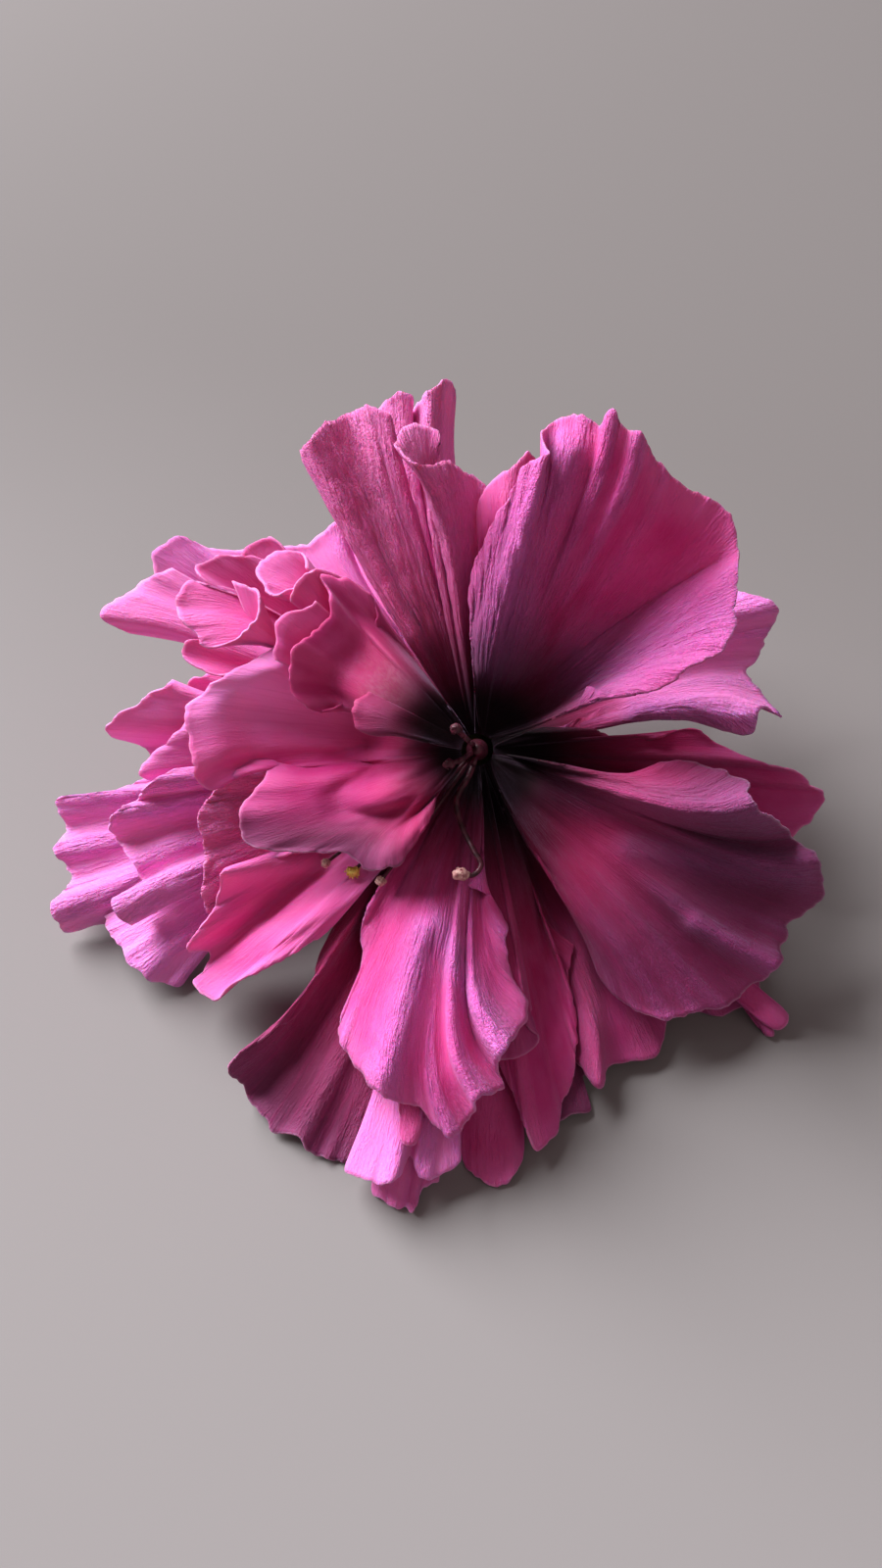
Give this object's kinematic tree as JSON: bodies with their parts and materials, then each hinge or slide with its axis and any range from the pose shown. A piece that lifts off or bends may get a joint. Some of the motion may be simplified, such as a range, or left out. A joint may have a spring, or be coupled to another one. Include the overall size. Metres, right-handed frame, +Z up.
{
  "type": "hibiscus flower",
  "caption": "Picked double hibiscus bloom with ruffled pink petals round a stamen column, lying on a surface on its lower petals and bent stalk.",
  "frame": {"origin": "middle of the bounding box's bottom face, on the surface that the bloom lies on", "axes": "+X to the right of someone who looks into the bloom, +Y away from them, +Z up; the bloom's face leans back and looks towards -Y and +Z"},
  "size_m": [0.1248, 0.1218, 0.0674],
  "materials": {
    "petal": "soft, finely crinkled petal",
    "stamens": "smooth, moist",
    "calyx": "matt leaf green"
  },
  "bodies": {
    "root": {"calyx": "calyx", "epicalyx": "calyx", "pedicel": "calyx", "petal_back_tip": "petal", "petal_front_foot": "petal", "petal_front_frill": "petal", "petal_front_hem": "petal", "petal_front_left": "petal", "petal_front_middle": "petal", "petal_front_right": "petal", "petal_front_side": "petal", "petal_front_tongue": "petal", "petal_guard_back": "petal", "petal_guard_back_left": "petal", "petal_guard_back_right": "petal", "petal_guard_front_left": "petal", "petal_guard_front_right": "petal", "petal_guard_left": "petal", "petal_guard_right": "petal", "petal_left_band": "petal", "petal_left_fold": "petal", "petal_left_main": "petal", "petal_left_pleats": "petal", "petal_left_point": "petal", "petal_left_tongue": "petal", "petal_low_left": "petal", "petal_low_left_rim": "petal", "petal_right_back": "petal", "petal_right_front": "petal", "petal_right_main": "petal", "petal_right_tongue": "petal", "petal_rose_back": "petal", "petal_rose_hem": "petal", "petal_rose_inner": "petal", "petal_rose_left": "petal", "petal_rose_lobe": "petal", "petal_rose_mouth_left": "petal", "petal_rose_mouth_right": "petal", "petal_rose_small": "petal", "petal_rose_wall": "petal", "petal_upright_fan": "petal", "petal_upright_left": "petal", "petal_upright_middle": "petal", "petal_upright_right": "petal", "staminal_column": "stamens"}
  },
  "joints": []
}
